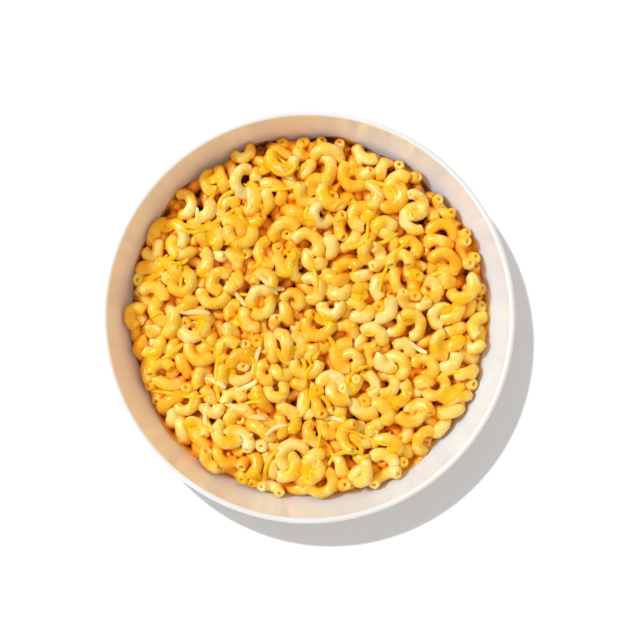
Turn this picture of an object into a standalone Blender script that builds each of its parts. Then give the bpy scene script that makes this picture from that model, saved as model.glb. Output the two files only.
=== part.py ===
"""Mac and cheese in a low white pasta bowl.

Metres, +Z up. The bowl stands on z = 0 and its axis is the Z axis.
The bowl is one turned and glazed piece on a foot ring. The macaroni is one heap that fills it:
bent tubes of pasta lying over each other in cheese sauce, higher in the middle than at the wall.
"""

import math
import random

import bmesh
import bpy
import numpy as np
from mathutils.geometry import delaunay_2d_cdt

# Bowl
BOWL_RADIUS = 0.110
BOWL_HEIGHT = 0.060
LIP_THICKNESS = 0.0030
BASE_THICKNESS = 0.0055
FLOOR_HEIGHT = 0.0090
WALL_LEAN = math.radians(74)
FOOT_OUTER_RADIUS = 0.0560
FOOT_INNER_RADIUS = 0.0500
FOOT_ROUNDING = 0.0010
BOWL_STEPS = 64
INSIDE_RINGS = 9
INSIDE_CROWDING = 0.8
LIP_RINGS = 6
OUTSIDE_RINGS = 7
OUTSIDE_CROWDING = 1.6

# Heap
HEAP_GAP = 0.0006
HEAP_EDGE_RADIUS = 0.0990
HEAP_EDGE_WAVE = 0.0009
HEAP_EDGE_SCALLOP = 0.0011
HEAP_CROWN = 0.0470
HEAP_SPACING = 0.0013
HEAP_EDGE_POINTS = 216
HEAP_EDGE_CLEARANCE = 0.55 * HEAP_SPACING
# Rings of points on the underside, each with its radius and how many points it has
UNDER_RINGS = ((0.045, 16), (0.066, 32), (0.079, 48), (0.087, 64), (0.0925, 96))
HEAP_KEPT_SHARE = 0.145
EDGE_HOLD = 1000
HEAP_SEED = 7

# One elbow of cooked macaroni
TUBE_RADIUS = 0.00335
BEND_RADIUS = (0.0048, 0.0080)
BEND_SWEEP = (math.radians(120), math.radians(205))
BEND_POINTS = 11
BEND_TILT = 0.22
ARC_SET_BACK = 0.7
# Layers of elbows, each with its count, its depth under the heap's level, and how much that varies
ELBOW_LAYERS = ((190, 0.0003, 0.0016), (260, 0.0048, 0.0012))
SAUCE_DEPTH = 0.0105
SAUCE_LEAST = 0.0040
GOLDEN_ANGLE = math.pi * (3 - math.sqrt(5))

# The inside of the bowl rises as a power of the radius and meets the round lip at WALL_LEAN.
LIP_CENTRE = (BOWL_RADIUS - LIP_THICKNESS / 2, BOWL_HEIGHT - LIP_THICKNESS / 2)
INSIDE_RADIUS = LIP_CENTRE[0] - math.sin(WALL_LEAN) * LIP_THICKNESS / 2
INSIDE_TOP = LIP_CENTRE[1] + math.cos(WALL_LEAN) * LIP_THICKNESS / 2
INSIDE_DEPTH = INSIDE_TOP - FLOOR_HEIGHT
INSIDE_POWER = math.tan(WALL_LEAN) * INSIDE_RADIUS / INSIDE_DEPTH


def clear_scene():
    for obj in list(bpy.data.objects):
        bpy.data.objects.remove(obj, do_unlink=True)


def linear(channel):
    """One sRGB channel, 0 to 255, as linear light."""
    share = channel / 255
    return share / 12.92 if share <= 0.04045 else ((share + 0.055) / 1.055) ** 2.4


def plain_material(name, rgb, roughness):
    material = bpy.data.materials.new(name)
    material.use_nodes = True
    shader = material.node_tree.nodes["Principled BSDF"]
    shader.inputs["Base Color"].default_value = (*map(linear, rgb), 1)
    shader.inputs["Roughness"].default_value = roughness
    shader.inputs["Metallic"].default_value = 0
    return material


def add_object(name, mesh, material):
    obj = bpy.data.objects.new(name, mesh)
    obj.data.materials.append(material)
    bpy.context.scene.collection.objects.link(obj)
    return obj


def inside_height(radius):
    """Height of the bowl's inner face at this radius."""
    return FLOOR_HEIGHT + INSIDE_DEPTH * (radius / INSIDE_RADIUS) ** INSIDE_POWER


def inside_slope(radius):
    """Angle of the inner face from the level."""
    share = (radius / INSIDE_RADIUS) ** (INSIDE_POWER - 1)
    return np.arctan(INSIDE_POWER * INSIDE_DEPTH / INSIDE_RADIUS * share)


# The bowl


def bowl_profile():
    """(radius, height) pairs: out along the inside, over the lip, down the outside, under the foot."""
    points = [(0.0, FLOOR_HEIGHT)]
    # The rings crowd towards the lip, where the inner face bends most.
    for ring in range(1, INSIDE_RINGS + 1):
        radius = INSIDE_RADIUS * math.sin(math.pi / 2 * ring / (INSIDE_RINGS + 1)) ** INSIDE_CROWDING
        points.append((radius, inside_height(radius)))
    for ring in range(LIP_RINGS + 1):
        turn = math.pi / 2 + WALL_LEAN - math.pi * ring / LIP_RINGS
        points.append(
            (
                LIP_CENTRE[0] + math.cos(turn) * LIP_THICKNESS / 2,
                LIP_CENTRE[1] + math.sin(turn) * LIP_THICKNESS / 2,
            )
        )
    # The outside keeps the wall's thickness, square to the inner face, and thickens to the base.
    for ring in range(OUTSIDE_RINGS):
        share = (ring + 1) / (OUTSIDE_RINGS + 1)
        radius = INSIDE_RADIUS + (FOOT_OUTER_RADIUS - INSIDE_RADIUS) * share**OUTSIDE_CROWDING
        slope = inside_slope(radius)
        thickness = LIP_THICKNESS + (BASE_THICKNESS - LIP_THICKNESS) * share
        points.append(
            (
                radius + math.sin(slope) * thickness,
                inside_height(radius) - math.cos(slope) * thickness,
            )
        )
    underside = FLOOR_HEIGHT - BASE_THICKNESS
    points += [
        (FOOT_OUTER_RADIUS + FOOT_ROUNDING, underside),
        (FOOT_OUTER_RADIUS, FOOT_ROUNDING),
        (FOOT_OUTER_RADIUS - FOOT_ROUNDING, 0.0),
        (FOOT_INNER_RADIUS + FOOT_ROUNDING, 0.0),
        (FOOT_INNER_RADIUS, FOOT_ROUNDING),
        (FOOT_INNER_RADIUS - FOOT_ROUNDING, underside),
        (0.0, underside),
    ]
    return points


def make_bowl():
    """One turned piece of glazed white porcelain."""
    mesh = bpy.data.meshes.new("bowl")
    profile = bowl_profile()
    mesh.from_pydata(
        [(radius, 0, height) for radius, height in profile],
        [(i, i + 1) for i in range(len(profile) - 1)],
        [],
    )
    bowl = add_object("bowl", mesh, plain_material("Glazed white porcelain", (245, 242, 236), 0.12))
    turning = bowl.modifiers.new("Turning", "SCREW")
    turning.axis = "Z"
    turning.steps = BOWL_STEPS
    turning.render_steps = BOWL_STEPS
    turning.use_merge_vertices = True
    turning.merge_threshold = 0.00001
    turning.use_smooth_shade = True


# The heap of macaroni


def under_height(radius):
    """The heap's underside lies a hair above the bowl, measured square to the wall."""
    return inside_height(radius) + HEAP_GAP / np.cos(inside_slope(radius))


def edge_radius(angle):
    """The heap's uneven outline, with the round ends of the outer elbows standing out from it."""
    wave = np.sin(2 * angle + 0.6) + 0.7 * np.sin(5 * angle + 2.1)
    scallop = np.abs(np.sin(13 * angle + 0.9 * np.sin(3 * angle))) - 0.5
    return HEAP_EDGE_RADIUS + HEAP_EDGE_WAVE * wave + HEAP_EDGE_SCALLOP * scallop


def dome_height(x, y):
    """The heap's general level, without its elbows: a low crown from where it meets the wall."""
    edge = edge_radius(np.arctan2(y, x))
    shoulder = under_height(edge) + TUBE_RADIUS / 2
    share = np.clip(np.hypot(x, y) / edge, 0, 1)
    return shoulder + (HEAP_CROWN - shoulder) * (1 - share**2)


def elbow_line(rng, middle, sink):
    """Centre line of one bent tube that lies on the heap, a little tilted."""
    bend = rng.uniform(*BEND_RADIUS)
    sweep = rng.uniform(*BEND_SWEEP)
    turn = np.linspace(-sweep / 2, sweep / 2, BEND_POINTS)
    facing = rng.uniform(0, 2 * math.pi)
    arc = np.column_stack((np.cos(facing + turn), np.sin(facing + turn)))
    # The arc is set back by part of its bend, so that the tube and not its centre lies on the middle.
    arc = middle + bend * (arc - ARC_SET_BACK * np.array((math.cos(facing), math.sin(facing))))
    tilt = rng.uniform(-BEND_TILT, BEND_TILT) * turn * bend
    level = dome_height(arc[:, 0], arc[:, 1]) - TUBE_RADIUS - sink + tilt
    return np.column_stack((arc, level))


def elbow_lines(rng):
    """Centre lines of the elbows of each layer, spread evenly over the round heap."""
    lines = []
    for count, depth, vary in ELBOW_LAYERS:
        start = rng.uniform(0, 2 * math.pi)
        for i in range(count):
            # Steps of the golden angle, at radii that grow as a square root, leave no bare place.
            radius = (HEAP_EDGE_RADIUS - TUBE_RADIUS) * math.sqrt((i + 0.5) / count)
            angle = start + i * GOLDEN_ANGLE + rng.uniform(-0.02, 0.02)
            middle = np.array((radius * math.cos(angle), radius * math.sin(angle)))
            lines.append(elbow_line(rng, middle, depth + rng.uniform(-vary, vary)))
    return lines


def surface_height(x, y, lines):
    """The top of the highest tube over each point, or the sauce that lies lower between them."""
    floor = under_height(np.hypot(x, y))
    height = np.maximum(dome_height(x, y) - SAUCE_DEPTH, floor + SAUCE_LEAST)
    for line in lines:
        away = np.hypot(x[:, None] - line[None, :, 0], y[:, None] - line[None, :, 1])
        rise = np.sqrt(np.clip(TUBE_RADIUS**2 - away**2, 0, None))
        top = np.where(away < TUBE_RADIUS, line[None, :, 2] + rise, -1)
        height = np.maximum(height, top.max(axis=1))
    return height


def edge_ring():
    """The line round the heap where the pasta meets the bowl's wall."""
    ring = []
    for step in range(HEAP_EDGE_POINTS):
        angle = 2 * math.pi * step / HEAP_EDGE_POINTS
        radius = edge_radius(angle)
        ring.append((radius * math.cos(angle), radius * math.sin(angle)))
    return ring


def triangulate(ring, inner):
    """Points and triangles of a sheet with this outline, all triangles the same way round."""
    points = ring + inner
    edges = [(i, (i + 1) % len(ring)) for i in range(len(ring))]
    flat, _, faces, *_ = delaunay_2d_cdt(points, edges, [], 1, 1e-7)
    sheet = []
    for a, b, c in faces:
        side = (flat[b] - flat[a]).cross(flat[c] - flat[a])
        sheet.append((a, b, c) if side > 0 else (a, c, b))
    return [tuple(point) for point in flat], sheet


def top_points():
    """Points in staggered rows over the heap, clear of its edge."""
    points = []
    rows = int(BOWL_RADIUS / (HEAP_SPACING * math.sqrt(0.75))) + 1
    columns = int(BOWL_RADIUS / HEAP_SPACING) + 1
    for row in range(-rows, rows + 1):
        for column in range(-columns, columns + 1):
            x = HEAP_SPACING * (column + 0.5 * (row % 2))
            y = HEAP_SPACING * math.sqrt(0.75) * row
            if math.hypot(x, y) < edge_radius(math.atan2(y, x)) - HEAP_EDGE_CLEARANCE:
                points.append((x, y))
    return points


def under_points():
    """Rings of points over the bowl's inner face, closer together where it curves up."""
    points = [(0.0, 0.0)]
    for radius, count in UNDER_RINGS:
        for step in range(count):
            angle = 2 * math.pi * (step + 0.5) / count
            points.append((radius * math.cos(angle), radius * math.sin(angle)))
    return points


def make_heap():
    """Elbow macaroni in cheese sauce, heaped up to its own outline on the bowl's wall."""
    rng = random.Random(HEAP_SEED)
    lines = elbow_lines(rng)
    ring = edge_ring()
    vertices = []
    faces = []

    flat, sheet = triangulate(ring, top_points())
    x, y = np.array(flat).T
    tops = surface_height(x, y, lines)
    for i, (px, py) in enumerate(flat):
        radius = math.hypot(px, py)
        inward = edge_radius(math.atan2(py, px)) - radius
        edge_level = under_height(radius + max(inward, 0))
        if i < len(ring):
            vertices.append((px, py, edge_level))
            continue
        # The outermost tubes turn down to the wall, as a quarter of a circle.
        reach = min(inward / TUBE_RADIUS, 1)
        rounded = edge_level + TUBE_RADIUS * math.sqrt(1 - (1 - reach) ** 2)
        vertices.append((px, py, rounded + (tops[i] - rounded) * reach**3))
    faces += sheet
    top_count = len(vertices)

    flat, sheet = triangulate(ring, under_points())
    shift = top_count - len(ring)
    for px, py in flat[len(ring) :]:
        vertices.append((px, py, under_height(math.hypot(px, py))))
    for triangle in sheet:
        a, b, c = (i if i < len(ring) else i + shift for i in triangle)
        faces.append((a, c, b))

    mesh = bpy.data.meshes.new("macaroni_heap")
    mesh.from_pydata(vertices, [], faces)
    shape = bmesh.new()
    shape.from_mesh(mesh)
    bmesh.ops.recalc_face_normals(shape, faces=shape.faces)
    shape.to_mesh(mesh)
    shape.free()
    mesh.shade_smooth()
    heap = add_object(
        "macaroni_heap", mesh, plain_material("Macaroni in cheese sauce", (248, 190, 62), 0.35)
    )
    # Fewer faces, which stay where the tubes' backs and the gaps between them need them.
    # The edge and the underside keep theirs, so that the heap stays clear of the bowl.
    pasta = heap.vertex_groups.new(name="Pasta")
    pasta.add(list(range(len(ring), top_count)), 1, "REPLACE")
    thinning = heap.modifiers.new("Thinning", "DECIMATE")
    thinning.ratio = HEAP_KEPT_SHARE
    thinning.vertex_group = pasta.name
    thinning.vertex_group_factor = EDGE_HOLD


clear_scene()
make_bowl()
make_heap()
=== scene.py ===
"""Mac and cheese in a white pasta bowl, seen from straight above.

Metres, +Z up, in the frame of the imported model. The file follows the dish as it is put together:
the bowl, the boiled macaroni that is packed into it, the cheese sauce between the elbows, the
cheese that is strewn over it, and last the floor, the light and the camera.
"""

import math

import bpy
import numpy as np
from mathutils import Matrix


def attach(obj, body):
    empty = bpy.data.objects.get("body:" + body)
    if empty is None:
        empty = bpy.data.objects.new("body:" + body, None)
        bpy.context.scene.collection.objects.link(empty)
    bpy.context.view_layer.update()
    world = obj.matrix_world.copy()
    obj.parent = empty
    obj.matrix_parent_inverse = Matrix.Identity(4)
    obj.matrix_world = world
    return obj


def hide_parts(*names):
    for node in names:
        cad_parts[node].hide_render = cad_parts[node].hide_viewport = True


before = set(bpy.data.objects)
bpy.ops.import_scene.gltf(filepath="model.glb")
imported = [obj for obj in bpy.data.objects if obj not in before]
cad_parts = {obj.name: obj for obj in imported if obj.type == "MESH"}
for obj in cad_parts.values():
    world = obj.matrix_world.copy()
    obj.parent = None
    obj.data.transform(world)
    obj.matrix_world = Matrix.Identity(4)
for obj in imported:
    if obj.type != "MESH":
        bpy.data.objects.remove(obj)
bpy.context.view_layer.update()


# ---------------------------------------------------------------------------------------------
# The bowl. White porcelain turned on a wheel, dipped in clear glaze and fired. It stands on a
# foot ring that is wiped bare before the firing, so that the bowl doesn't stick to the shelf. These
# sizes are the ones that the CAD bowl has.

RIM_RADIUS = 0.110
RIM_HEIGHT = 0.060
LIP = 0.0030
BASE = 0.0055
WELL = 0.0090
LEAN = math.radians(74)
FOOT_OUTSIDE, FOOT_INSIDE, FOOT_ROUND = 0.0560, 0.0500, 0.0010

lip_middle = (RIM_RADIUS - LIP / 2, RIM_HEIGHT - LIP / 2)
inner_rim = lip_middle[0] - math.sin(LEAN) * LIP / 2
inner_depth = lip_middle[1] + math.cos(LEAN) * LIP / 2 - WELL
wall_power = math.tan(LEAN) * inner_rim / inner_depth


def wall_height(radius):
    """Height of the bowl's inner face at this radius."""
    return WELL + inner_depth * (radius / inner_rim) ** wall_power


def wall_slope(radius):
    """Angle of the inner face from the level."""
    return np.arctan(wall_power * inner_depth / inner_rim * (radius / inner_rim) ** (wall_power - 1))


def bowl_profile():
    """(radius, height) points: out along the inside, over the lip, down the outside, under the foot."""
    inside = inner_rim * np.sin(np.linspace(0, math.pi / 2, 34)[:-1]) ** 0.8
    points = list(zip(inside, wall_height(inside)))
    for turn in np.linspace(math.pi / 2 + LEAN, LEAN - math.pi / 2, 13):
        x, z = math.cos(turn) * LIP / 2, math.sin(turn) * LIP / 2
        points.append((lip_middle[0] + x, lip_middle[1] + z))
    for share in np.linspace(0, 1, 26)[1:-1]:
        radius = inner_rim + (FOOT_OUTSIDE - inner_rim) * share**1.6
        slope = wall_slope(radius)
        wall = LIP + (BASE - LIP) * share
        points.append((radius + math.sin(slope) * wall, wall_height(radius) - math.cos(slope) * wall))
    under = WELL - BASE
    points += [(FOOT_OUTSIDE + 0.4 * FOOT_ROUND, under - 0.3 * FOOT_ROUND), (FOOT_OUTSIDE, 2 * FOOT_ROUND)]
    for middle, start in ((FOOT_OUTSIDE - FOOT_ROUND, 0), (FOOT_INSIDE + FOOT_ROUND, -math.pi / 2)):
        for turn in np.linspace(start, start - math.pi / 2, 5):
            points.append((middle + FOOT_ROUND * math.cos(turn), FOOT_ROUND * (1 + math.sin(turn))))
    points += [(FOOT_INSIDE, 2 * FOOT_ROUND), (FOOT_INSIDE - FOOT_ROUND, under), (0.0, under)]
    return points


def new_piece(name, vertices, faces, smooth=True):
    """A mesh object at the origin, whose vertices hold its place."""
    mesh = bpy.data.meshes.new(name)
    mesh.from_pydata([tuple(v) for v in vertices], [], [tuple(f) for f in faces])
    mesh.validate()
    if smooth:
        mesh.shade_smooth()
    piece = bpy.data.objects.new(name, mesh)
    bpy.context.scene.collection.objects.link(piece)
    return piece


def turned(name, profile, steps):
    """The profile turned once round the Z axis. Its first and last points lie on the axis."""
    ring = profile[1:-1]
    vertices = [(0, 0, profile[0][1]), (0, 0, profile[-1][1])]
    for step in range(steps):
        angle = 2 * math.pi * step / steps
        vertices += [(r * math.cos(angle), r * math.sin(angle), z) for r, z in ring]
    faces = []
    for step in range(steps):
        here, there = 2 + step * len(ring), 2 + (step + 1) % steps * len(ring)
        faces.append((0, here, there))
        faces += [(here + i, here + i + 1, there + i + 1, there + i) for i in range(len(ring) - 1)]
        faces.append((here + len(ring) - 1, 1, there + len(ring) - 1))
    return new_piece(name, vertices, faces)


def linear(code):
    """An sRGB hex colour as linear light, with alpha."""
    channels = (int(code[i : i + 2], 16) / 255 for i in (1, 3, 5))
    return (*(c / 12.92 if c <= 0.04045 else ((c + 0.055) / 1.055) ** 2.4 for c in channels), 1)


def new_material(name):
    """A material with an empty Principled shader, and that shader."""
    material = bpy.data.materials.new(name)
    material.use_nodes = True
    return material, material.node_tree.nodes["Principled BSDF"]


def add(tree, kind, settings=(), **links):
    """Adds a node. settings are its properties. A link is a socket to join or a value to set, and
    its key is the input's name, or its number after an i."""
    node = tree.nodes.new(kind)
    for key, value in dict(settings).items():
        setattr(node, key, value)
    for key, value in links.items():
        by_number = key[0] == "i" and key[1:].isdigit()
        socket = node.inputs[int(key[1:]) if by_number else key.replace("_", " ")]
        if isinstance(value, bpy.types.NodeSocket):
            tree.links.new(value, socket)
        else:
            socket.default_value = value
    return node


def ramp(tree, value, *stops):
    """A colour ramp through (place, hex colour) stops."""
    node = add(tree, "ShaderNodeValToRGB", i0=value)
    line = node.color_ramp.elements
    while len(line) < len(stops):
        line.new(0.5)
    for stop, (place, code) in zip(line, stops):
        stop.position = place
        stop.color = linear(code)
    return node.outputs["Color"]


BARE_FOOT = (0.0010, 0.0016)

bowl = turned("porcelain_bowl", bowl_profile(), 192)

# Clear gloss glaze over white porcelain: hard and smooth, with a faint ripple where it ran before
# it set, and a bare, rough, slightly warmer foot up to these heights.
glaze, shader = new_material("Glazed white porcelain")
tree = glaze.node_tree
place = add(tree, "ShaderNodeTexCoord").outputs["Object"]
height = add(tree, "ShaderNodeSeparateXYZ", i0=place).outputs["Z"]
glazed = add(tree, "ShaderNodeMapRange", i0=height, i1=BARE_FOOT[0], i2=BARE_FOOT[1])
glazed = glazed.outputs[0]
cloud = add(tree, "ShaderNodeTexNoise", Vector=place, Scale=38.0, Detail=3.0).outputs["Fac"]
white = ramp(tree, cloud, (0.3, "#F3EFE9"), (0.7, "#F8F5F0"))
body = add(tree, "ShaderNodeMix", {"data_type": "RGBA"}, i0=glazed, i6=linear("#E4D9C8"), i7=white)
tree.links.new(body.outputs[2], shader.inputs["Base Color"])
gloss = add(tree, "ShaderNodeMapRange", i0=cloud, i1=0.3, i2=0.7, i3=0.09, i4=0.15).outputs[0]
rough = add(tree, "ShaderNodeMix", i0=glazed, i2=0.75, i3=gloss).outputs[0]
tree.links.new(rough, shader.inputs["Roughness"])
ripple = add(tree, "ShaderNodeTexNoise", Vector=place, Scale=140.0, Detail=2.0).outputs["Fac"]
bump = add(tree, "ShaderNodeBump", Strength=0.06, Distance=0.0004, Height=ripple)
tree.links.new(bump.outputs[0], shader.inputs["Normal"])
shader.inputs["IOR"].default_value = 1.5
bowl.data.materials.append(glaze)
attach(bowl, "root")
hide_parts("bowl")


# ---------------------------------------------------------------------------------------------
# The macaroni. Elbows of durum pasta, pushed through a die with a pin that leaves the bore, cut
# short and boiled soft. Each keeps its own bend and length, and they are packed into the bowl by
# pushing them apart, a step at a time, as rows of balls.

TUBE = 0.00350
BORE_SHARE = 0.30
BORE_DEPTH = 0.0030
LUMPS = 0.00042
ELBOWS = 660
BALLS = 7
BEND = (0.0044, 0.0074)
SWEEP = (math.radians(95), math.radians(185))
CROWN = 0.0465
SHOULDER = 0.0432
HEAP_RADIUS = 0.0990
LAYER = 0.0195
TOUCH = 2 * TUBE * 0.95
LIE_DOWN = 0.060
ON_ENDS = 0.024
ON_BACK_SHARE = 0.11
PAST_BALL = 0.75 * TUBE
GOLDEN_ANGLE = math.pi * (3 - math.sqrt(5))

# How the packing starts, and how far it moves the elbows in each step.
STEPS, QUICK_STEPS = 260, 120
START_RADIUS = 0.0970
START_LIFT = 0.003
START_LAYERS = 1.7
START_TILT = 0.45
SINK, SINK_LATER, LATER = 0.00035, 0.00012, 0.7
PAIRS_EVERY = 6
PAIRS_BEYOND = 0.003
PUSH_APART = 0.3
PROUD = 0.0036
PUSH_DOWN = 0.08
WALL_BALL = 0.97


def dome(radius):
    """The heap's general level."""
    return SHOULDER + (CROWN - SHOULDER) * (1 - np.clip(radius / HEAP_RADIUS, 0, 1) ** 2)


def bays(bearing):
    """How far the heap keeps off the wall on each side, so that its edge is ragged."""
    return 0.0006 * (2 + np.sin(9 * bearing + 1.0) + np.sin(14 * bearing + 4.0))


def turn_about(axis, angle):
    """Rotation matrices, one for each unit axis and angle."""
    x, y, z = axis.T
    c, s = np.cos(angle), np.sin(angle)
    rows = (
        (c + x * x * (1 - c), x * y * (1 - c) - z * s, x * z * (1 - c) + y * s),
        (y * x * (1 - c) + z * s, c + y * y * (1 - c), y * z * (1 - c) - x * s),
        (z * x * (1 - c) - y * s, z * y * (1 - c) + x * s, c + z * z * (1 - c)),
    )
    return np.moveaxis(np.array(rows), 2, 0)


def arc_points(bend, sweep, count):
    """Points along the centre line of each elbow, in its own plane."""
    turn = np.linspace(-0.5, 0.5, count)[None, :] * sweep[:, None]
    return bend[:, None, None] * np.stack((np.cos(turn), np.sin(turn), np.zeros_like(turn)), axis=2)


def close_pairs(points, owner, reach):
    """Pairs of points of different elbows that lie within reach of each other along each axis."""
    order = np.argsort(points[:, 0], kind="stable")
    along = points[order, 0]
    count = np.searchsorted(along, along + reach) - np.arange(len(along)) - 1
    first = np.repeat(np.arange(len(along)), count)
    second = first + 1 + np.arange(count.sum()) - np.repeat(np.cumsum(count) - count, count)
    a, b = order[first], order[second]
    near = (owner[a] != owner[b]) & (np.abs(points[a, 1:] - points[b, 1:]) < reach).all(axis=1)
    return a[near], b[near]


def settle(rng, bend, sweep, steps):
    """Sinks the elbows into the bowl while they push each other apart, and returns their centres and
    turns. It isn't physics and doesn't come to rest: elbows still overlap after the last step."""
    local = arc_points(bend, sweep, BALLS)
    local -= local.mean(axis=1, keepdims=True)
    number = np.arange(ELBOWS)
    radius = START_RADIUS * np.sqrt((number + 0.5) / ELBOWS)
    bearing = number * GOLDEN_ANGLE
    drop = rng.permutation(ELBOWS) / ELBOWS * LAYER * START_LAYERS
    height = dome(radius) - LAYER + START_LIFT + drop
    centre = np.column_stack((radius * np.cos(bearing), radius * np.sin(bearing), height))
    lean = rng.uniform(0, 2 * math.pi, ELBOWS)
    lean = np.column_stack((np.cos(lean), np.sin(lean), np.zeros(ELBOWS)))
    upright = np.tile((0.0, 0.0, 1.0), (ELBOWS, 1))
    turn = turn_about(lean, np.abs(rng.normal(0, START_TILT, ELBOWS)))
    turn = np.einsum("nij,njk->nik", turn, turn_about(upright, rng.uniform(0, 2 * math.pi, ELBOWS)))
    # Most elbows stand on their two ends. This share lies on its back instead, with its bores up.
    on_back = np.random.default_rng(12).random(ELBOWS) < ON_BACK_SHARE
    turn[(turn[:, 2, 0] < 0) != on_back, :, :2] *= -1
    stand = np.where(on_back, -3 * ON_ENDS, ON_ENDS)[:, None]
    # How far out a ball of pasta can lie at each height before it touches the wall.
    wall = np.linspace(0.02, inner_rim, 400)
    ball = TUBE * WALL_BALL
    wall_up = wall_height(wall) + ball * np.cos(wall_slope(wall))
    wall_out = wall - ball * np.sin(wall_slope(wall))
    owner = np.repeat(number, BALLS)
    points = centre[:, None] + np.einsum("nij,nkj->nki", turn, local)
    for step in range(steps):
        if step % PAIRS_EVERY == 0:
            a, b = close_pairs(points.reshape(-1, 3), owner, TOUCH + PAIRS_BEYOND)
        p = points.reshape(-1, 3).copy()
        p[:, 2] -= SINK if step < LATER * steps else SINK_LATER
        for _ in range(2):
            apart = p[a] - p[b]
            gap = np.sqrt((apart**2).sum(axis=1)) + 1e-9
            hit = gap < TOUCH
            push = apart[hit] * (PUSH_APART * (TOUCH - gap[hit]) / gap[hit])[:, None]
            for axis in range(3):
                p[:, axis] += np.bincount(a[hit], push[:, axis], len(p))
                p[:, axis] -= np.bincount(b[hit], push[:, axis], len(p))
            out = np.hypot(p[:, 0], p[:, 1]) + 1e-9
            level = dome(out)
            p[:, 2] = np.maximum(p[:, 2], level - LAYER + TUBE)
            p[:, 2] -= PUSH_DOWN * np.clip(p[:, 2] - (level + PROUD - TUBE), 0, None)
            room = np.interp(p[:, 2], wall_up, wall_out) - bays(np.arctan2(p[:, 1], p[:, 0]))
            p[:, :2] *= np.minimum(1, room / out)[:, None]
        # Each elbow stays stiff: it takes the move and turn that bring its own shape nearest to
        # where its balls were pushed, a little flatter, and with its ends or its back down.
        p = p.reshape(ELBOWS, BALLS, 3)
        centre = p.mean(axis=1)
        p[:, :, 2] += (centre[:, 2:] - p[:, :, 2]) * LIE_DOWN + local[:, :, 0] * stand
        pull = np.einsum("nki,nkj->nij", p - centre[:, None], local)
        for _ in range(3):
            twist = np.cross(turn, pull, axis=1).sum(axis=2)
            spin = twist / (np.abs((turn * pull).sum(axis=(1, 2))) + 1e-12)[:, None]
            angle = np.sqrt((spin**2).sum(axis=1)) + 1e-12
            turn = np.einsum("nij,njk->nik", turn_about(spin / angle[:, None], angle), turn)
        points = centre[:, None] + np.einsum("nij,nkj->nki", turn, local)
    return centre, turn


rng = np.random.default_rng(11)
bend = rng.uniform(*BEND, ELBOWS)
sweep = rng.uniform(*SWEEP, ELBOWS)
centre, turn = settle(rng, bend, sweep, STEPS)


def centre_lines(count):
    """Points along each packed elbow's centre line, out to its cut ends, inside its last balls."""
    local = arc_points(bend, sweep + 2 * PAST_BALL / bend, count)
    local -= arc_points(bend, sweep, BALLS).mean(axis=1, keepdims=True)
    return centre[:, None] + np.einsum("nij,nkj->nki", turn, local)


LINE_POINTS = 21
THINNEST = 0.86
lines = centre_lines(LINE_POINTS)
radii = TUBE * rng.uniform(THINNEST, 1.00, ELBOWS)
tones = rng.random(ELBOWS)


# A fine square net over the bowl. Levels of the food are kept at its points.
NET = 0.0007
OFF_CUT = 0.0010
LEAST_BALL = 0.0003
SEEN_POINTS = 12
net_half = math.ceil(HEAP_RADIUS / NET) + 6
net_axis = np.arange(-net_half, net_half + 1) * NET
net_x, net_y = np.meshgrid(net_axis, net_axis, indexing="ij")
net_r = np.hypot(net_x, net_y)


def highest(points, ball_radii, ground):
    """The top of the elbows over each point of the net, or the ground where there is none. Each
    elbow is a row of balls that get smaller at its ends, so that they don't reach past the cut."""
    level = ground.copy()
    who = np.full(level.shape, -1)
    count = points.shape[1]
    step = np.linalg.norm(points[:, 1] - points[:, 0], axis=1)
    from_end = np.minimum(np.arange(count), np.arange(count)[::-1])
    balls = np.clip(step[:, None] * from_end - OFF_CUT, LEAST_BALL, ball_radii[:, None])
    for number, (row, sizes) in enumerate(zip(points, balls)):
        for (x, y, z), ball in zip(row, sizes):
            i, j = (int(round(v / NET)) + net_half for v in (x, y))
            reach = int(ball / NET) + 1
            block = (slice(i - reach, i + reach + 1), slice(j - reach, j + reach + 1))
            rise = ball**2 - (net_x[block] - x) ** 2 - (net_y[block] - y) ** 2
            top = np.where(rise > 0, z + np.sqrt(np.abs(rise)), -1)
            higher = top > level[block]
            level[block][higher] = top[higher]
            who[block][higher] = number
    return level, who


wall_level = wall_height(np.minimum(net_r, inner_rim))
ground = np.maximum(dome(net_r) - LAYER, wall_level + 0.001)
envelope, seen_elbow = highest(lines, radii, ground)
in_heap = net_r < HEAP_RADIUS
seen_area = np.bincount(seen_elbow[in_heap & (seen_elbow >= 0)], minlength=ELBOWS)
shown = seen_area > SEEN_POINTS


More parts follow.
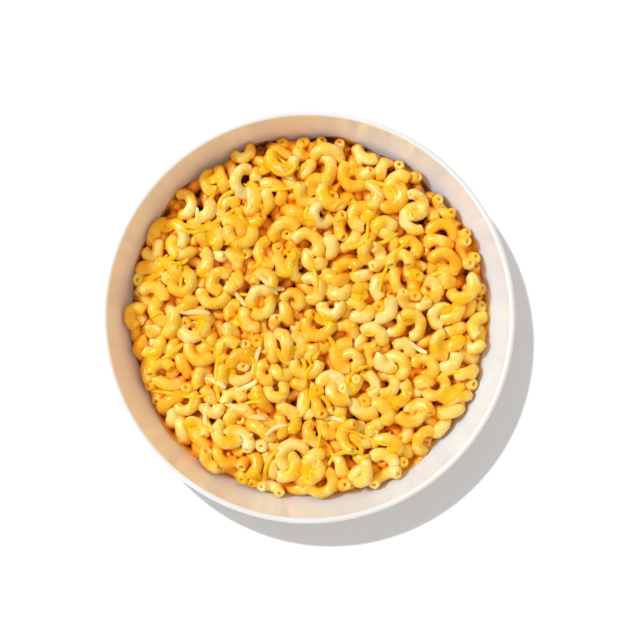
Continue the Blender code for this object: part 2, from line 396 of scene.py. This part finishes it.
def tube_tree(name, material, sides, bore_share=0.0, lump_height=0.0, levels=1):
    """Nodes that turn lines into soft tubes, with a bore at each end where there is one."""
    tree = bpy.data.node_groups.new(name, "GeometryNodeTree")
    tree.interface.new_socket("Geometry", in_out="INPUT", socket_type="NodeSocketGeometry")
    amounts = {"Bore share": bore_share, "Bore depth": BORE_DEPTH, "Lump height": lump_height}
    for label, value in amounts.items():
        socket = tree.interface.new_socket(label, in_out="INPUT", socket_type="NodeSocketFloat")
        socket.default_value = value
    tree.interface.new_socket("Geometry", in_out="OUTPUT", socket_type="NodeSocketGeometry")
    given = tree.nodes.new("NodeGroupInput").outputs
    as_float = {"data_type": "FLOAT"}
    thickness = add(tree, "GeometryNodeInputNamedAttribute", as_float, Name="thickness").outputs[0]
    curve = add(tree, "GeometryNodeMeshToCurve", Mesh=given["Geometry"])
    curve = add(tree, "GeometryNodeSetCurveRadius", Curve=curve.outputs[0], Radius=thickness)
    circle = add(tree, "GeometryNodeCurvePrimitiveCircle", Resolution=sides, Radius=1.0).outputs[0]
    outline = {"Curve": curve.outputs[0], "Profile_Curve": circle, "Scale": thickness}
    shape = add(tree, "GeometryNodeCurveToMesh", Fill_Caps=True, **outline).outputs[0]
    if bore_share:
        # The caps are the only faces with more than four corners.
        corners = add(tree, "GeometryNodeCornersOfFace").outputs["Total"]
        larger = {"data_type": "INT", "operation": "GREATER_THAN"}
        is_cap = add(tree, "FunctionNodeCompare", larger, i2=corners, i3=4).outputs[0]
        rim = add(tree, "GeometryNodeExtrudeMesh", Mesh=shape, Selection=is_cap, Offset_Scale=0.0)
        cap = rim.outputs["Top"]
        share = {"Selection": cap, "Scale": given["Bore share"]}
        wall = add(tree, "GeometryNodeScaleElements", Geometry=rim.outputs[0], **share).outputs[0]
        times = {"operation": "MULTIPLY"}
        depth = add(tree, "ShaderNodeMath", times, i0=given["Bore depth"], i1=-1.0).outputs[0]
        inwards = {"Selection": cap, "Offset_Scale": depth}
        shape = add(tree, "GeometryNodeExtrudeMesh", Mesh=wall, **inwards).outputs[0]
    shape = add(tree, "GeometryNodeSubdivisionSurface", Mesh=shape, Level=levels).outputs[0]
    place = add(tree, "GeometryNodeInputPosition").outputs[0]
    lump = add(tree, "ShaderNodeTexNoise", Vector=place, Scale=230.0, Detail=2.0).outputs["Fac"]
    swing = add(tree, "ShaderNodeMapRange", i0=lump, i3=-2.0, i4=2.0).outputs[0]
    rise = add(tree, "ShaderNodeMath", {"operation": "MULTIPLY"}, i0=swing, i1=given["Lump height"])
    rise = rise.outputs[0]
    normal = add(tree, "GeometryNodeInputNormal").outputs[0]
    offset = add(tree, "ShaderNodeVectorMath", {"operation": "SCALE"}, i0=normal, Scale=rise).outputs[0]
    moved = add(tree, "GeometryNodeSetPosition", Geometry=shape, Offset=offset).outputs[0]
    smooth = add(tree, "GeometryNodeSetShadeSmooth", i0=moved).outputs[0]
    real = add(tree, "GeometryNodeRealizeInstances", i0=smooth).outputs[0]
    dressed = add(tree, "GeometryNodeSetMaterial", Geometry=real, Material=material).outputs[0]
    tree.links.new(dressed, tree.nodes.new("NodeGroupOutput").inputs[0])
    return tree


def from_lines(name, rows, values, tree):
    """Runs a tree over polylines that carry one value of each named attribute, and keeps its mesh."""
    count = rows.shape[1]
    guide = bpy.data.meshes.new(name + "_guide")
    edges = [(r * count + i, r * count + i + 1) for r in range(len(rows)) for i in range(count - 1)]
    guide.from_pydata([tuple(p) for p in rows.reshape(-1, 3)], edges, [])
    for key, value in values.items():
        value = np.asarray(value, float)
        value = np.repeat(value, count) if value.ndim == 1 else value.reshape(-1)
        guide.attributes.new(key, "FLOAT", "POINT").data.foreach_set("value", value)
    carrier = bpy.data.objects.new(name + "_carrier", guide)
    bpy.context.scene.collection.objects.link(carrier)
    carrier.modifiers.new("Nodes", "NODES").node_group = tree
    graph = bpy.context.evaluated_depsgraph_get()
    mesh = bpy.data.meshes.new_from_object(carrier.evaluated_get(graph))
    mesh.name = name
    bpy.data.objects.remove(carrier)
    piece = bpy.data.objects.new(name, mesh)
    bpy.context.scene.collection.objects.link(piece)
    return piece


# Food under a coat of cheese sauce: soft, wet and a little see-through. The sauce is pale where it
# is thick and creamy, and deep yellow where cheddar has melted over it. Its darkening towards orange
# and brown down in the gaps and on the sides of the pieces is painted shade, by the depth that served()
# notes.
GAP_SHADE_COLOURS = ("#FFE4A8", "#E4AE68", "#7A4A2A")


def sauced(name, pale, warm, deep, melt):
    """Food in sauce from pale to deep, with melted cheddar on it, darkened by painted shade by its depth
    attribute.
    """
    material, shader = new_material(name)
    tree = material.node_tree
    place = add(tree, "ShaderNodeTexCoord").outputs["Object"]
    tone, cheddar, depth = (
        add(tree, "ShaderNodeAttribute", {"attribute_name": key}).outputs["Fac"]
        for key in ("tone", "cheddar", "depth")
    )
    wide, fine = (
        add(tree, "ShaderNodeTexNoise", Vector=place, Scale=scale, Detail=3.0, Roughness=rough)
        for scale, rough in ((110.0, 0.55), (260.0, 0.6))
    )
    wide, fine = wide.outputs["Fac"], fine.outputs["Fac"]
    times, times_plus = {"operation": "MULTIPLY"}, {"operation": "MULTIPLY_ADD"}
    mixed = add(tree, "ShaderNodeMath", times, i0=tone, i1=0.14).outputs[0]
    mixed = add(tree, "ShaderNodeMath", times_plus, i0=wide, i1=0.62, i2=mixed).outputs[0]
    mixed = add(tree, "ShaderNodeMath", times_plus, i0=fine, i1=0.30, i2=mixed).outputs[0]
    colour = ramp(tree, mixed, (0.43, pale), (0.54, warm), (0.67, deep))
    ragged = add(tree, "ShaderNodeMath", times_plus, i0=fine, i1=1.2, i2=cheddar).outputs[0]
    patch = add(tree, "ShaderNodeMapRange", i0=ragged, i1=0.85, i2=1.25).outputs[0]
    blend = {"data_type": "RGBA"}
    colour = add(tree, "ShaderNodeMix", blend, i0=patch, i6=colour, i7=linear(melt)).outputs[2]
    # Painted shade: the colour is multiplied darker, towards orange and brown, by the depth attribute.
    gap_stops = zip((0.16, 0.42, 1.0), GAP_SHADE_COLOURS)
    gap_shade = ramp(tree, depth, (0.0, "#FFFFFF"), *gap_stops)
    shade_multiply = {"data_type": "RGBA", "blend_type": "MULTIPLY"}
    colour = add(tree, "ShaderNodeMix", shade_multiply, i0=1.0, i6=colour, i7=gap_shade).outputs[2]
    tree.links.new(colour, shader.inputs["Base Color"])
    gloss = add(tree, "ShaderNodeMapRange", i0=fine, i1=0.3, i2=0.7, i3=0.30, i4=0.46).outputs[0]
    tree.links.new(gloss, shader.inputs["Roughness"])
    grain = add(tree, "ShaderNodeTexNoise", Vector=place, Scale=620.0, Detail=3.0).outputs["Fac"]
    bump = add(tree, "ShaderNodeBump", Strength=0.5, Distance=0.00007, Height=grain)
    tree.links.new(bump.outputs[0], shader.inputs["Normal"])
    shader.inputs["Subsurface Weight"].default_value = 0.4
    shader.inputs["Subsurface Radius"].default_value = (1.0, 0.5, 0.2)
    shader.inputs["Subsurface Scale"].default_value = 0.0010
    shader.inputs["IOR"].default_value = 1.42
    shader.inputs["Specular IOR Level"].default_value = 0.75
    shader.inputs["Specular Tint"].default_value = linear("#FFE9B0")
    shader.inputs["Coat Weight"].default_value = 0.22
    shader.inputs["Coat Roughness"].default_value = 0.24
    return material


# Each kind's piece, material, and its colours: pale, warm, deep and melted cheddar.
GOLDEN_SAUCE = ("#FFE08A", "#FFCB40", "#FFBA24", "#FFC418")
KINDS = (
    ("macaroni_creamy", "Macaroni in creamy sauce", "#FFE59A", "#FFD456", "#FFC236", "#FFC418"),
    ("macaroni_golden", "Macaroni in golden sauce", *GOLDEN_SAUCE),
    ("macaroni_buttery", "Macaroni in buttery sauce", "#FFDC7A", "#FFC536", "#FFB21A", "#FFC214"),
)


def drifts(size, seed, phases=24):
    """A smooth random field over the net, about -1 to 1, with hills of about this size."""
    draw = np.random.default_rng(seed)
    angle = draw.uniform(0, 2 * math.pi, phases)
    wave = 2 * math.pi / size * draw.uniform(0.5, 1.3, phases)
    phase = draw.uniform(0, 2 * math.pi, phases)
    waves = [
        np.sin(k * (net_x * math.cos(t) + net_y * math.sin(t)) + p)
        for t, k, p in zip(angle, wave, phase)
    ]
    return np.sum(waves, axis=0) / math.sqrt(phases)


def rolled(level, ball):
    """The level that a ball of this radius can't get below as it rolls over the net."""
    reach = int(ball / NET)
    steps = [(i, j) for i in range(-reach, reach + 1) for j in range(-reach, reach + 1)]
    steps = [(i, j) for i, j in steps if math.hypot(i, j) * NET <= ball]
    rise = {step: math.sqrt(ball**2 - (math.hypot(*step) * NET) ** 2) for step in steps}
    raised = np.max([np.roll(level, step, (0, 1)) + rise[step] for step in steps], axis=0)
    return np.min([np.roll(raised, step, (0, 1)) - rise[step] for step in steps], axis=0)


def level_at(surface, x, y):
    """The surface's height between the points of the net."""
    u, v = x / NET + net_half, y / NET + net_half
    i, j = np.floor(u).astype(int), np.floor(v).astype(int)
    u, v = u - i, v - j
    near = surface[i, j] * (1 - v) + surface[i, j + 1] * v
    far = surface[i + 1, j] * (1 - v) + surface[i + 1, j + 1] * v
    return near * (1 - u) + far * u


draped = rolled(envelope, 0.0036)
brim = rolled(envelope, 0.0070)
cheddar_field = np.clip(drifts(0.017, seed=8) * 0.9 - 0.35, -0.5, 1)


def read(items, key, width=1):
    """One property of every item, as rows of this width."""
    values = np.empty(len(items) * width, np.float32)
    items.foreach_get(key, values)
    return values.reshape(-1, width)


food = []
# Painted shade: the food's colour darkens from this depth under the heap's brim, is darkest this much
# deeper, and darkens this much more on the sides of each piece.
UNSHADED_DEPTH = 0.0024
FULL_SHADE_DEPTH = 0.0080
SHADE_ON_SIDES = 0.34
# Painted light: beside the wall, towards this direction where the key light falls on the wall, this share
# of the painted shade is taken away again, from this radius over this width.
NEAR_WALL, WALL_BLEND = 0.084, 0.009
LIT_WALL_SIDE = (0.64, -0.77)
WALL_LIGHT_SHARE = 0.7


def served(piece):
    """Notes on each point how much cheddar has melted over it, and how much painted shade its colour
    takes. The painted shade grows with its depth in the heap and on its sides, and painted light takes
    part of it away beside the wall on the side where this scene's key light falls on the wall. Then puts
    the piece in the heap."""
    mesh = piece.data
    x, y, z = read(mesh.vertices, "co", 3).astype(float).T
    # Painted shade on the sides that face away from above.
    side = 1 - np.clip(read(mesh.vertex_normals, "vector", 3)[:, 2], 0, 1)
    # Painted light beside the wall on the side where the key light falls on it.
    wall_light = np.clip((np.hypot(x, y) - NEAR_WALL) / WALL_BLEND, 0, 1)
    wall_light *= np.clip(0.5 + (LIT_WALL_SIDE[0] * x + LIT_WALL_SIDE[1] * y) / HEAP_RADIUS, 0, 1)
    shade_amount = (level_at(brim, x, y) - z - UNSHADED_DEPTH) / FULL_SHADE_DEPTH + SHADE_ON_SIDES * side
    depth = np.clip(shade_amount * (1 - WALL_LIGHT_SHARE * wall_light), 0, 1)
    marks = {"cheddar": level_at(cheddar_field, x, y) - depth, "depth": depth}
    for key, value in marks.items():
        mesh.attributes.new(key, "FLOAT", "POINT").data.foreach_set("value", value)
    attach(piece, "root")
    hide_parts("macaroni_heap")
    food.append(piece)


FILLET = 0.0040
NEIGHBOUR = 0.026
RINGS = 8
along = np.linspace(-1, 1, RINGS)
rounding = 1.04 * (1 - 0.13 * along**10)


def swell_to_neighbours(piece):
    """Sauce gathers where two elbows meet: their skins bulge a little towards each other there."""
    mesh = piece.data
    co = read(mesh.vertices, "co", 3).astype(float)
    normals = read(mesh.vertex_normals, "vector", 3)
    owner = np.round(read(mesh.attributes["number"].data, "value")[:, 0]).astype(int)
    order = np.argsort(owner, kind="stable")
    starts = np.searchsorted(owner[order], np.arange(ELBOWS + 1))
    for number in np.unique(owner):
        mine = order[starts[number] : starts[number + 1]]
        near = np.hypot(*(centre - centre[number]).T[:2]) < NEIGHBOUR
        near[number] = False
        others = lines[near].reshape(-1, 3)
        skin = np.repeat(radii[near], LINE_POINTS)
        away = np.sqrt(((co[mine][:, None] - others[None]) ** 2).sum(axis=2)) - skin[None]
        least = away.min(axis=1)
        bulge = FILLET / 4 * np.clip(1 - least / FILLET, 0, 1) ** 2
        co[mine] += normals[mine] * bulge[:, None]
    mesh.vertices.foreach_set("co", co.reshape(-1))
    mesh.update()


def macaroni(name, finish, chosen, levels=1):
    """The chosen elbows as one piece."""
    tree = tube_tree(name + "_nodes", finish, 8, BORE_SHARE, LUMPS, levels)
    values = {"thickness": radii[chosen, None] * rounding, "tone": tones[chosen], "number": chosen}
    piece = from_lines(name, centre_lines(RINGS)[chosen], values, tree)
    if levels:
        swell_to_neighbours(piece)
    served(piece)


for kind, (name, finish, *colours) in enumerate(KINDS):
    chosen = np.flatnonzero(shown & (np.arange(ELBOWS) % len(KINDS) == kind))
    macaroni(name, sauced(finish, *colours), chosen)
buttery = bpy.data.materials["Macaroni in buttery sauce"]
macaroni("macaroni_below", buttery, np.flatnonzero(~shown), levels=0)


# ---------------------------------------------------------------------------------------------
# The cheese sauce. Milk, butter, flour and cheddar, stirred until smooth. It lies deep between the
# elbows, and comes up higher where there is more of it or where cheddar has melted into it.

SAUCE_RADIUS = 0.0972
SAUCE_EDGE = 0.0005
INTO_WALL = 0.0002
UNDER_SKIN = 0.00045
DEEP = 0.0135
JOINTS_DEEP = 0.0065
JOINT_BALL, FULL_BALL = 0.0008, 0.0012
RICH_UNDER, MELT_UNDER = 0.0008, 0.0003
UNDERSIDE_RINGS = (1.0, 0.93, 0.85, 0.74, 0.58, 0.35)

angle = np.arctan2(net_y, net_x)
sauce_edge = SAUCE_RADIUS - bays(angle)
sauce_edge = sauce_edge + 0.0010 * np.sin(5 * angle + 0.7) + 0.0009 * np.sin(13 * angle + 2.0)
under_skin, _ = highest(lines, radii - UNDER_SKIN, ground)
joints = np.minimum(rolled(under_skin, JOINT_BALL), brim - JOINTS_DEEP)
full = rolled(under_skin, FULL_BALL)
rich = np.clip(drifts(0.022, seed=5) * 0.9 + 0.55, 0, 1)
melt = np.clip((cheddar_field - 0.34) / 0.30, 0, 1)
sauce_top = np.maximum(brim - DEEP, joints)
sauce_top += rich * np.clip(np.minimum(full, draped - RICH_UNDER) - sauce_top, 0, None)
sauce_top += melt * np.clip(draped - MELT_UNDER - sauce_top, 0, None)
sauce_top = np.maximum(sauce_top, wall_level + SAUCE_EDGE)


def pool(name, inside, edge, top):
    """A closed piece under the net's top level, out to its edge, and down to the bowl in rings."""
    cells = inside[:-1, :-1] & inside[1:, :-1] & inside[1:, 1:] & inside[:-1, 1:]
    used = np.zeros_like(inside)
    for i, j in ((0, 0), (1, 0), (1, 1), (0, 1)):
        used[i : i + cells.shape[0], j : j + cells.shape[1]] |= cells
    index = np.full(inside.shape, -1)
    index[used] = np.arange(used.sum())
    points = np.column_stack((net_x[used], net_y[used], top[used]))
    i, j = np.nonzero(cells)
    quads = np.column_stack((index[i, j], index[i + 1, j], index[i + 1, j + 1], index[i, j + 1]))
    sides = np.concatenate([quads[:, [k, (k + 1) % 4]] for k in range(4)])
    forward, back = sides @ (len(points), 1), sides @ (1, len(points))
    sides = sides[~np.isin(forward, back)]
    rim, ends = np.unique(sides, return_inverse=True)
    ends = ends.reshape(-1, 2)
    # The net's ragged outline is drawn out to the true edge.
    points[rim, :2] *= (edge[used][rim] / np.hypot(*points[rim, :2].T))[:, None]
    points[rim, 2] = wall_height(np.hypot(*points[rim, :2].T)) + SAUCE_EDGE
    faces = quads.tolist()
    ring_before = rim
    a, b = ends.T
    for share in UNDERSIDE_RINGS:
        x, y = (points[rim, :2] * share).T
        z = wall_height(np.hypot(x, y)) - INTO_WALL / np.cos(wall_slope(np.hypot(x, y)))
        ring = np.arange(len(rim)) + len(points)
        points = np.concatenate((points, np.column_stack((x, y, z))))
        faces += np.column_stack((ring_before[b], ring_before[a], ring[a], ring[b])).tolist()
        ring_before = ring
    points = np.concatenate((points, [(0, 0, WELL - INTO_WALL)]))
    faces += np.column_stack((ring[b], ring[a], np.full(len(a), len(points) - 1))).tolist()
    return new_piece(name, points, faces)


sauce = pool("cheese_sauce", net_r < sauce_edge - 0.3 * NET, sauce_edge, sauce_top)
# The sauce takes on the tone of the elbows around it.
tone_map = np.where(seen_elbow < 0, 0.5, tones[seen_elbow])
for _ in range(12):
    for axis in (0, 1):
        tone_map = (np.roll(tone_map, 1, axis) + tone_map + np.roll(tone_map, -1, axis)) / 3
x, y, _ = read(sauce.data.vertices, "co", 3).astype(float).T
tone = level_at(tone_map, x, y)
sauce.data.attributes.new("tone", "FLOAT", "POINT").data.foreach_set("value", tone)
sauce.data.materials.append(sauced("Cheddar sauce", *GOLDEN_SAUCE))
served(sauce)


# ---------------------------------------------------------------------------------------------
# The cheese on top. Grated cheddar, half melted into flat soft strands over the elbows, and a few
# straight shreds of white cheese that were strewn last and are still firm.

STREWN_RADIUS = 0.086
STREWN_LIMIT = 0.094


def strewn(draw, count, points, length, bend, surface, lift):
    """Smooth lines of these lengths that lie on the surface, each bent its own way."""
    rows = []
    for _ in range(count):
        radius = STREWN_RADIUS * math.sqrt(draw.random())
        azimuth, heading = draw.uniform(0, 2 * math.pi, 2)
        long = draw.uniform(*length)
        along = np.linspace(-0.5, 0.5, points)
        course = heading + draw.normal(0, bend) * along + draw.normal(0, bend) * along**2
        x = np.cumsum(np.cos(course)) * long / points
        y = np.cumsum(np.sin(course)) * long / points
        x += radius * math.cos(azimuth) - x.mean()
        y += radius * math.sin(azimuth) - y.mean()
        held = np.minimum(1, STREWN_LIMIT / np.hypot(x, y))
        x, y = x * held, y * held
        z = level_at(surface, x, y) + lift
        for _ in range(2):
            z[1:-1] = (z[:-2] + 2 * z[1:-1] + z[2:]) / 4
        rows.append(np.column_stack((x, y, z)))
    return np.array(rows)


def strands(name, material, seed, count, points, length, thickness, bend, surface, lift, flat):
    """Strands of cheese as one piece, full in the middle, thinner at the ends and flattened."""
    draw = np.random.default_rng(seed)
    rows = strewn(draw, count, points, length, bend, surface, lift)
    taper = 1 - 0.45 * np.abs(np.linspace(-1, 1, points)) ** 4
    full = draw.uniform(*thickness, count)
    values = {"thickness": full[:, None] * taper, "tone": draw.random(count), "level": rows[:, :, 2]}
    piece = from_lines(name, rows, values, tube_tree(name + "_nodes", material, 6))
    mesh = piece.data
    co = read(mesh.vertices, "co", 3).astype(float)
    level = read(mesh.attributes["level"].data, "value")[:, 0].astype(float)
    co[:, 2] = level + flat * (co[:, 2] - level)
    mesh.vertices.foreach_set("co", co.reshape(-1))
    served(piece)


cheddar = sauced("Half melted cheddar", "#FFCE24", "#FFC614", "#FFBA08", "#FFC814")
strands(
    "cheddar_strands", cheddar, seed=3, count=18, points=17, length=(0.016, 0.036),
    thickness=(0.0011, 0.0016), bend=1.4, surface=draped, lift=0.0, flat=0.55,
)
strands(
    "melted_shreds", cheddar, seed=6, count=60, points=9, length=(0.007, 0.018),
    thickness=(0.0011, 0.0019), bend=1.2, surface=rolled(envelope, 0.0030), lift=-0.0005, flat=0.6,
)
crumbs = sauced("Cheese crumbs", "#FFECAC", "#FFDC78", "#FFC838", "#FFCC30")
strands(
    "cheese_bits", crumbs, seed=7, count=150, points=3, length=(0.0016, 0.0040),
    thickness=(0.0009, 0.0016), bend=0.6, surface=rolled(envelope, 0.0010), lift=-0.0005, flat=0.8,
)
white = sauced("White cheese", "#FFE8B0", "#FFDE94", "#FFD47C", "#FFDE98")
strands(
    "white_cheese_shreds", white, seed=4, count=18, points=9, length=(0.009, 0.019),
    thickness=(0.0012, 0.0018), bend=0.5, surface=rolled(envelope, 0.0050), lift=0.0, flat=0.4,
)


# ---------------------------------------------------------------------------------------------
# The floor, light and camera. A white floor, key lamps from the upper left, and soft lamps from
# above. The bowl, the food and the floor each have a key and a soft lamp of their own, at their own
# heights and tints, to match the photo. They aren't one real set of lamps. The lens is long, from
# straight above.

FLOOR_HALF = 12
corners = [(-1, -1), (1, -1), (1, 1), (-1, 1)]
corners = [(x * FLOOR_HALF, y * FLOOR_HALF, 0) for x, y in corners]
floor = new_piece("floor", corners, [range(4)], smooth=False)
paper, shader = new_material("White paper")
shader.inputs["Base Color"].default_value = linear("#FAFAFA")
shader.inputs["Roughness"].default_value = 0.9
floor.data.materials.append(paper)


def sun(name, azimuth, elevation, spread, level, pieces, shaded_by=()):
    """A sun lamp from this side and height, in degrees, that lights these pieces only. Where
    shaded_by names pieces, only those cast shade in its light. level is the red, green and blue
    light that it lays on a level surface, where 1 makes pure white paper white."""
    lamp = bpy.data.lights.new(name, "SUN")
    lamp.energy = max(level) * math.pi / math.sin(math.radians(elevation))
    lamp.color = [part / max(level) for part in level]
    lamp.angle = math.radians(spread)
    holder = bpy.data.objects.new(name, lamp)
    holder.rotation_euler = (0, math.radians(90 - elevation), math.radians(azimuth))
    bpy.context.scene.collection.objects.link(holder)
    for use, group in (("receiver", pieces), ("blocker", shaded_by)):
        if not group:
            continue
        linked = bpy.data.collections.new(f"{name}_{use}")
        for piece in group:
            linked.objects.link(piece)
        for item in linked.collection_objects:
            item.light_linking.link_state = "INCLUDE"
        setattr(holder.light_linking, f"{use}_collection", linked)


sun("bowl_key", 160, 46, 12, (0.21, 0.41, 0.60), [bowl])
sun("bowl_bounce", 0, 90, 180, (0.60, 0.45, 0.30), [bowl], [bowl])
sun("food_key", 150, 44, 9, (0.43, 0.46, 0.61), food)
sun("food_bounce", 0, 90, 120, (0.50, 0.40, 0.17), food)
sun("floor_key", 130, 72, 1.5, (0.57, 0.57, 0.57), [floor])
sun("floor_bounce", 0, 90, 120, (0.33, 0.33, 0.33), [floor])
ROOM_LIGHT = 0.20
world = bpy.data.worlds.new("Room")
world.use_nodes = True
world.node_tree.nodes["Background"].inputs["Color"].default_value = linear("#FFFFFF")
world.node_tree.nodes["Background"].inputs["Strength"].default_value = ROOM_LIGHT
scene = bpy.context.scene
scene.world = world
scene.view_settings.view_transform = "Standard"

CAMERA_HEIGHT = 3.00
CAMERA_PLACE = (0.0061, -0.0016)
FRAME_WIDTH = 0.3405
lens = bpy.data.cameras.new("camera")
lens.sensor_width = 36
lens.lens = 36 * CAMERA_HEIGHT / FRAME_WIDTH
camera = bpy.data.objects.new("camera", lens)
camera.location = (*CAMERA_PLACE, RIM_HEIGHT + CAMERA_HEIGHT)
scene.collection.objects.link(camera)
scene.camera = camera
